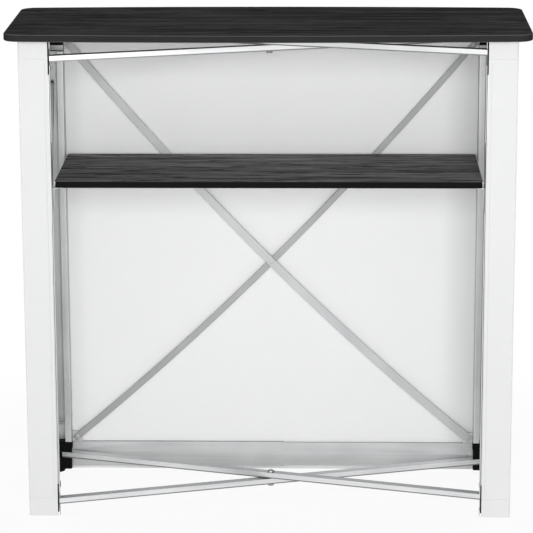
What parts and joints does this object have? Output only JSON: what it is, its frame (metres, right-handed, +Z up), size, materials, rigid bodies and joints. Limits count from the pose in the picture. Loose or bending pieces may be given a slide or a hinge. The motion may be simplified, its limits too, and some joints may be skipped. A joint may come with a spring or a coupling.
{
  "type": "folding portable bar",
  "caption": "Folding bar counter: aluminium legs in plastic hubs, scissor and crossed bars, white fabric cover, black wood-grain shelf and top.",
  "frame": {"origin": "on the floor, under the middle of the top board", "axes": "+X to the right of the person serving, along the bar; +Y towards the customers; +Z up"},
  "size_m": [1.14, 0.425, 1.1],
  "materials": {
    "black_wood": "black wood-grain laminate, satin",
    "leg_aluminium": "anodised extrusion, fine lengthwise lines",
    "bar_aluminium": "mill finish tube and strip",
    "steel": "zinc plated",
    "black_plastic": "glass-filled nylon, fine grain",
    "rubber": "moulded rubber",
    "white_cloth": "plain white polyester, fine weave"
  },
  "bodies": {
    "front_left": {"leg_front_left": "leg_aluminium", "foot_hub_front_left": "black_plastic", "head_hub_front_left": "black_plastic", "foot_pad_front_left": "rubber", "bottom_pin_front_left": "steel", "top_pin_front_left": "steel", "shelf_bracket_front_left": "black_plastic", "cover_front": "white_cloth", "cover_side_left": "white_cloth", "bottom_rail_left": "leg_aluminium", "front_bar_from_left": "bar_aluminium", "front_bar_from_right": "bar_aluminium", "front_rivet": "steel", "bottom_bolt_front_left": "steel", "top_bolt_front_left": "steel"},
    "front_right": {"leg_front_right": "leg_aluminium", "foot_hub_front_right": "black_plastic", "head_hub_front_right": "black_plastic", "foot_pad_front_right": "rubber", "bottom_pin_front_right": "steel", "top_pin_front_right": "steel", "shelf_bracket_front_right": "black_plastic", "cover_side_right": "white_cloth", "bottom_rail_right": "leg_aluminium", "bottom_bolt_front_right": "steel", "top_bolt_front_right": "steel"},
    "scissor_upper": {"top_bar_upper": "bar_aluminium", "bottom_bar_upper": "bar_aluminium", "top_centre_bolt": "steel", "bottom_centre_bolt": "steel"},
    "scissor_lower": {"top_bar_lower": "bar_aluminium", "bottom_bar_lower": "bar_aluminium"},
    "rear_left": {"leg_rear_left": "leg_aluminium", "foot_hub_rear_left": "black_plastic", "head_hub_rear_left": "black_plastic", "foot_pad_rear_left": "rubber", "bottom_pin_rear_left": "steel", "top_pin_rear_left": "steel", "shelf_bracket_rear_left": "black_plastic", "cover_wrap_rear_left": "white_cloth"},
    "rear_right": {"leg_rear_right": "leg_aluminium", "foot_hub_rear_right": "black_plastic", "head_hub_rear_right": "black_plastic", "foot_pad_rear_right": "rubber", "bottom_pin_rear_right": "steel", "top_pin_rear_right": "steel", "shelf_bracket_rear_right": "black_plastic", "cover_wrap_rear_right": "white_cloth"},
    "side_left_front": {"side_bar_left_front": "leg_aluminium", "side_rivet_left": "steel"},
    "side_left_rear": {"side_bar_left_rear": "leg_aluminium"},
    "side_right_front": {"side_bar_right_front": "leg_aluminium", "side_rivet_right": "steel"},
    "side_right_rear": {"side_bar_right_rear": "leg_aluminium"},
    "shelf": {"shelf_board": "black_wood", "shelf_trim_left": "bar_aluminium", "shelf_trim_right": "bar_aluminium"},
    "top": {"top_board": "black_wood"}
  },
  "joints": [
    {"name": "fold", "type": "hinge", "parent": "front_left", "child": "scissor_upper", "pos_m": [-0.484, 0.151, 0], "axis": [0, 0, 1], "range_deg": [0, 15.19], "deforming": ["cover_side_left", "cover_side_right", "front_bar_from_left", "front_bar_from_right"]},
    {"name": "front_right_slide", "type": "slide", "parent": "front_left", "child": "front_right", "axis": [1, 0, 0], "range_m": [0, 0.046]},
    {"name": "lower_bar_swing", "type": "hinge", "parent": "front_right", "child": "scissor_lower", "pos_m": [0.484, 0.151, 0], "axis": [0, 0, 1], "range_deg": [-15.2, 0]},
    {"name": "rear_right_pivot", "type": "hinge", "parent": "scissor_upper", "child": "rear_right", "pos_m": [0.484, -0.145, 0], "axis": [0, 0, 1], "range_deg": [-15.2, 0]},
    {"name": "rear_left_pivot", "type": "hinge", "parent": "scissor_lower", "child": "rear_left", "pos_m": [-0.484, -0.145, 0], "axis": [0, 0, 1], "range_deg": [0, 15.2]},
    {"name": "side_left_front_pivot", "type": "hinge", "parent": "front_left", "child": "side_left_front", "pos_m": [-0.505, 0.153, 0.12], "axis": [1, 0, 0], "range_deg": [-17.95, 0]},
    {"name": "side_left_rear_pivot", "type": "hinge", "parent": "side_left_front", "child": "side_left_rear", "pos_m": [-0.505, 0.003, 0.525], "axis": [1, 0, 0], "range_deg": [0, 35.9]},
    {"name": "side_right_front_pivot", "type": "hinge", "parent": "front_right", "child": "side_right_front", "pos_m": [0.505, 0.153, 0.12], "axis": [1, 0, 0], "range_deg": [-17.95, 0]},
    {"name": "side_right_rear_pivot", "type": "hinge", "parent": "side_right_front", "child": "side_right_rear", "pos_m": [0.505, 0.003, 0.525], "axis": [1, 0, 0], "range_deg": [0, 35.9]},
    {"name": "shelf_lift", "type": "slide", "parent": "front_left", "child": "shelf", "axis": [0, 0, 1], "range_m": [0, 0.08]},
    {"name": "top_lift", "type": "slide", "parent": "front_left", "child": "top", "axis": [0, 0, 1], "range_m": [0, 0.08]}
  ],
  "couplings": [
    {"joint": "front_right_slide", "follows": "fold", "m_per_rad": 0.17326},
    {"joint": "lower_bar_swing", "follows": "fold", "ratio": -1},
    {"joint": "rear_right_pivot", "follows": "fold", "ratio": -1},
    {"joint": "rear_left_pivot", "follows": "fold", "ratio": 1},
    {"joint": "side_left_front_pivot", "follows": "fold", "ratio": -1.1806},
    {"joint": "side_left_rear_pivot", "follows": "fold", "ratio": 2.3612},
    {"joint": "side_right_front_pivot", "follows": "fold", "ratio": -1.1806},
    {"joint": "side_right_rear_pivot", "follows": "fold", "ratio": 2.3612}
  ]
}
